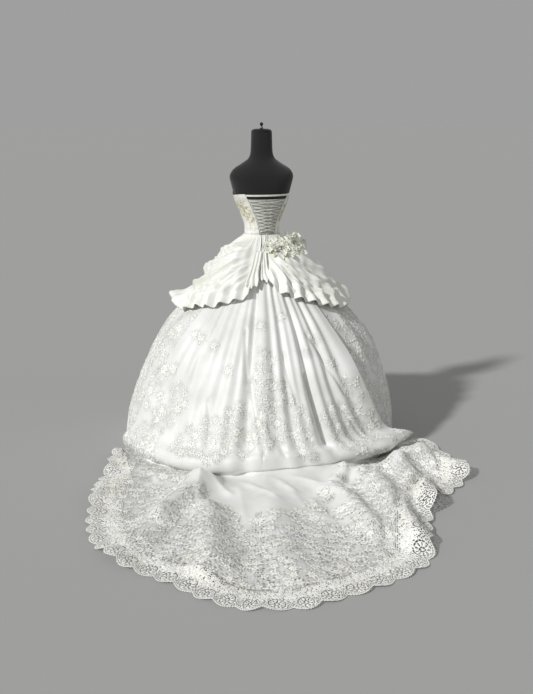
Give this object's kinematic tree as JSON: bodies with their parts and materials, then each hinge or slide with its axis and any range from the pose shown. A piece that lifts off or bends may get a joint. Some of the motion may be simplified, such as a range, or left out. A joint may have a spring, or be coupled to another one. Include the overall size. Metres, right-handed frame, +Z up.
{
  "type": "wedding dress on a dress form",
  "caption": "Strapless laced ball gown with a gathered overskirt, cloth flowers, fluted skirt and lace-edged train, on a limbless dress form with a stand.",
  "frame": {"origin": "centre of the stand's base, on the floor", "axes": "+Z up; the form faces +Y, so the lacing and the train are at -Y; +X is the wearer's right"},
  "size_m": [1.8606, 2.5425, 1.6028],
  "materials": {
    "ivory_satin": "ivory duchess satin with a soft sheen",
    "ivory_organza": "ivory organza over satin",
    "ivory_lace": "ivory corded guipure lace, matt",
    "white_cord": "white satin rat-tail cord",
    "cloth_flower": "ivory organza and satin petals",
    "black_jersey": "matt black jersey over a moulded body",
    "black_gloss": "black gloss",
    "black_iron": "black satin lacquer"
  },
  "bodies": {
    "root": {"form_torso": "black_jersey", "form_neck_cap": "black_gloss", "form_finial": "black_gloss", "stand_pole": "black_iron", "stand_base": "black_iron", "bodice_back_left": "ivory_satin", "bodice_side_back_left": "ivory_satin", "bodice_side_front_left": "ivory_satin", "bodice_back_right": "ivory_satin", "bodice_side_back_right": "ivory_satin", "bodice_side_front_right": "ivory_satin", "bodice_front": "ivory_satin", "modesty_panel": "ivory_lace", "loop_tape_left": "white_cord", "loop_tape_right": "white_cord", "lacing_strand_left": "white_cord", "lacing_strand_right": "white_cord", "lacing_top_ribbon": "ivory_satin", "lace_end_left": "white_cord", "lace_end_right": "white_cord", "skirt_back_left": "ivory_organza", "skirt_back_right": "ivory_organza", "skirt_side_left": "ivory_organza", "skirt_side_right": "ivory_organza", "skirt_front": "ivory_organza", "hem_lace_left": "ivory_lace", "hem_lace_back": "ivory_lace", "hem_lace_right": "ivory_lace", "overskirt_left": "ivory_satin", "overskirt_right": "ivory_satin", "overskirt_front": "ivory_satin", "overskirt_tail_left": "ivory_satin", "overskirt_tail_right": "ivory_satin", "rose_middle": "cloth_flower", "rose_low": "cloth_flower", "rose_upper": "cloth_flower", "rose_side": "cloth_flower", "leaf_low": "cloth_flower", "leaf_side": "cloth_flower", "bud_upper": "cloth_flower", "bud_low": "cloth_flower"}
  },
  "joints": []
}
